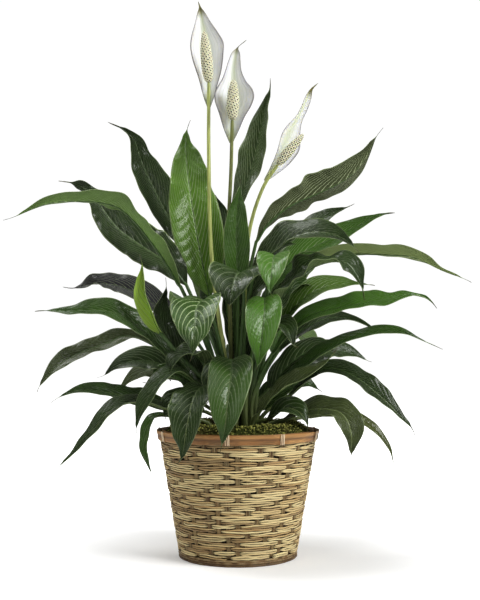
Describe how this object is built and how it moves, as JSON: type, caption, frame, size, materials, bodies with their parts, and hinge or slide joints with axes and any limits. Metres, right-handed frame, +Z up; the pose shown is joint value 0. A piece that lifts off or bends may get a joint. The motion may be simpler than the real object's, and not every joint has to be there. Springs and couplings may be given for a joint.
{
  "type": "potted peace lily",
  "caption": "Flowering peace lily with arching leaves and white hooded flowers, standing in a tapered woven basket with a hidden nursery pot and a moss top.",
  "frame": {"origin": "centre of the basket's foot, on the floor", "axes": "+Z up along the basket's axis, -Y towards the front of the plant, +X to its right"},
  "size_m": [0.643, 0.383, 0.7873],
  "materials": {
    "basket_cane": "dry split straw and cane, matt with a faint sheen",
    "rim_cane": "smooth split cane, satin",
    "liner_plastic": "thin soft plastic sheet",
    "pot_plastic": "moulded nursery-pot plastic",
    "potting_mix": "damp peat and bark",
    "moss": "dried sheet moss, rough",
    "root_crown": "fibrous root stock",
    "leaf_dark": "waxy, satin, deep green",
    "leaf_mid": "waxy, satin, green",
    "leaf_olive": "waxy, paler olive green",
    "leaf_young": "soft, yellow-green",
    "flower_stalk": "smooth, light green",
    "spathe": "soft white, slightly translucent",
    "spadix": "matt cream, finely bumped"
  },
  "bodies": {
    "root": {"foot_hoop": "rim_cane", "basket_base": "basket_cane", "basket_wall": "basket_cane", "rim_band_outer": "rim_cane", "rim_band_inner": "rim_cane", "plastic_liner": "liner_plastic", "nursery_pot": "pot_plastic", "potting_mix": "potting_mix", "moss_topping": "moss", "root_crown": "root_crown", "leaf_left_upright": "leaf_dark", "leaf_left_long": "leaf_mid", "leaf_left_broad": "leaf_dark", "leaf_left_dusky": "leaf_dark", "leaf_left_middle": "leaf_mid", "leaf_left_young": "leaf_young", "leaf_left_drooping": "leaf_mid", "leaf_left_short": "leaf_dark", "leaf_left_behind": "leaf_olive", "leaf_left_low": "leaf_mid", "leaf_left_lowest": "leaf_dark", "leaf_left_near": "leaf_dark", "leaf_over_rim_left": "leaf_mid", "leaf_upright_bright": "leaf_mid", "leaf_upright_behind_stalks": "leaf_dark", "leaf_upright_veined": "leaf_dark", "leaf_upright_short": "leaf_mid", "leaf_front_upper_left": "leaf_mid", "leaf_front_top": "leaf_dark", "leaf_front_bright": "leaf_mid", "leaf_front_lower": "leaf_dark", "leaf_front_lower_left": "leaf_dark", "leaf_front_right_upper": "leaf_mid", "leaf_right_top": "leaf_olive", "leaf_right_back_upper": "leaf_dark", "leaf_right_arching": "leaf_dark", "leaf_right_veined": "leaf_mid", "leaf_right_folded": "leaf_dark", "leaf_right_far": "leaf_olive", "leaf_right_yellow_green": "leaf_young", "leaf_right_thick": "leaf_mid", "leaf_right_thin": "leaf_dark", "leaf_right_long": "leaf_mid", "leaf_right_back_lower": "leaf_dark", "leaf_right_drooping": "leaf_dark", "leaf_right_front": "leaf_olive", "leaf_right_hanging": "leaf_olive", "leaf_right_lowest": "leaf_mid", "leaf_back_left": "leaf_mid", "leaf_back_middle": "leaf_dark", "leaf_back_right": "leaf_mid", "flower_tall_stalk": "flower_stalk", "flower_tall_spadix": "spadix", "flower_tall_spathe": "spathe", "flower_middle_stalk": "flower_stalk", "flower_middle_spadix": "spadix", "flower_middle_spathe": "spathe", "flower_right_stalk": "flower_stalk", "flower_right_spadix": "spadix", "flower_right_spathe": "spathe"}
  },
  "joints": []
}
